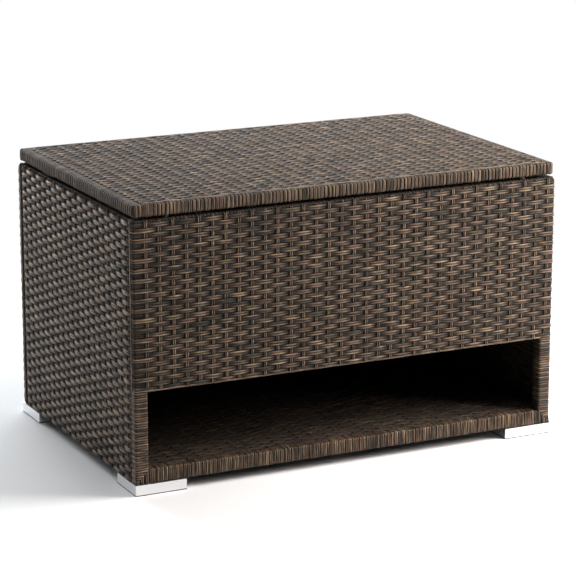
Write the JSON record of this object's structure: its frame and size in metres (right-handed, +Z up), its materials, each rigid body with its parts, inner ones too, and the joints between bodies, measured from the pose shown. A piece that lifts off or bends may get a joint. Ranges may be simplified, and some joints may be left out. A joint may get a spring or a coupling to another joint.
{
  "type": "wicker storage coffee table",
  "caption": "Woven garden coffee table: a storage box under a hinged lid held open by folding stays, with an open shelf bay below and low aluminium corner feet.",
  "frame": {"origin": "centre of the footprint on the floor, under the feet", "axes": "+X to the right along the front, +Y to the back, +Z up; the open shelf bay faces -Y"},
  "size_m": [0.78, 0.52, 0.48],
  "materials": {
    "wicker": "flat ridged resin strands, plain weave, dark brown with tan and grey-green strands, satin",
    "wicker_wrap": "the same strands wound side by side round posts, rails and the lid's edges, satin",
    "frame_tube": "dark brown powder coat, fine texture",
    "foot_aluminium": "brushed along its length, satin",
    "foot_plastic": "black moulded plastic",
    "hinge_steel": "zinc plated",
    "stay_steel": "zinc plated flat bar",
    "screw_steel": "stainless",
    "bumper_rubber": "black rubber"
  },
  "bodies": {
    "table": {"front_left_post": "frame_tube", "front_right_post": "frame_tube", "rear_left_post": "frame_tube", "rear_right_post": "frame_tube", "front_top_rail": "frame_tube", "rear_top_rail": "frame_tube", "left_top_rail": "frame_tube", "right_top_rail": "frame_tube", "front_middle_rail": "frame_tube", "rear_middle_rail": "frame_tube", "left_middle_rail": "frame_tube", "right_middle_rail": "frame_tube", "front_bottom_rail": "frame_tube", "rear_bottom_rail": "frame_tube", "left_bottom_rail": "frame_tube", "right_bottom_rail": "frame_tube", "storage_floor_bar": "frame_tube", "shelf_bar": "frame_tube", "front_weave": "wicker", "rear_weave": "wicker", "left_weave": "wicker", "right_weave": "wicker", "shelf_weave": "wicker", "storage_floor_weave": "wicker", "left_post_wrap": "wicker_wrap", "right_post_wrap": "wicker_wrap", "bottom_rail_wrap": "wicker_wrap", "front_left_foot": "foot_aluminium", "front_right_foot": "foot_aluminium", "rear_left_foot": "foot_aluminium", "rear_right_foot": "foot_aluminium", "foot_inserts": "foot_plastic", "foot_screws": "screw_steel", "left_hinge_body_leaf": "hinge_steel", "right_hinge_body_leaf": "hinge_steel", "hinge_pins": "hinge_steel", "left_stay_plate": "stay_steel", "right_stay_plate": "stay_steel", "body_screws": "screw_steel"},
    "lid": {"lid_front_rail": "frame_tube", "lid_rear_rail": "frame_tube", "lid_left_rail": "frame_tube", "lid_right_rail": "frame_tube", "lid_bar": "frame_tube", "lid_weave": "wicker", "lid_front_wrap": "wicker_wrap", "lid_rear_wrap": "wicker_wrap", "lid_left_wrap": "wicker_wrap", "lid_right_wrap": "wicker_wrap", "lid_screws": "screw_steel", "lid_bumpers": "bumper_rubber", "left_hinge_lid_leaf": "hinge_steel", "right_hinge_lid_leaf": "hinge_steel", "left_stay_lid_bracket": "stay_steel", "right_stay_lid_bracket": "stay_steel"},
    "left_arm": {"left_stay_arm": "stay_steel"},
    "right_arm": {"right_stay_arm": "stay_steel"},
    "left_link": {"left_stay_link": "stay_steel"},
    "right_link": {"right_stay_link": "stay_steel"}
  },
  "joints": [
    {"name": "lid_hinge", "type": "hinge", "parent": "table", "child": "lid", "pos_m": [0, 0.2565, 0.456], "axis": [-1, 0, 0], "range_deg": [0, 95]},
    {"name": "left_stay_pivot", "type": "hinge", "parent": "table", "child": "left_arm", "pos_m": [-0.3622, 0.2195, 0.33], "axis": [-1, 0, 0], "range_deg": [0, 95]},
    {"name": "left_stay_elbow", "type": "hinge", "parent": "left_arm", "child": "left_link", "pos_m": [-0.3589, 0.0795, 0.322], "axis": [-1, 0, 0], "range_deg": [-95, 0]},
    {"name": "right_stay_pivot", "type": "hinge", "parent": "table", "child": "right_arm", "pos_m": [0.3622, 0.2195, 0.33], "axis": [-1, 0, 0], "range_deg": [0, 95]},
    {"name": "right_stay_elbow", "type": "hinge", "parent": "right_arm", "child": "right_link", "pos_m": [0.3589, 0.0795, 0.322], "axis": [-1, 0, 0], "range_deg": [-95, 0]}
  ],
  "couplings": [
    {"joint": "left_stay_pivot", "follows": "lid_hinge", "ratio": 1},
    {"joint": "left_stay_elbow", "follows": "lid_hinge", "ratio": -1},
    {"joint": "right_stay_pivot", "follows": "lid_hinge", "ratio": 1},
    {"joint": "right_stay_elbow", "follows": "lid_hinge", "ratio": -1}
  ]
}
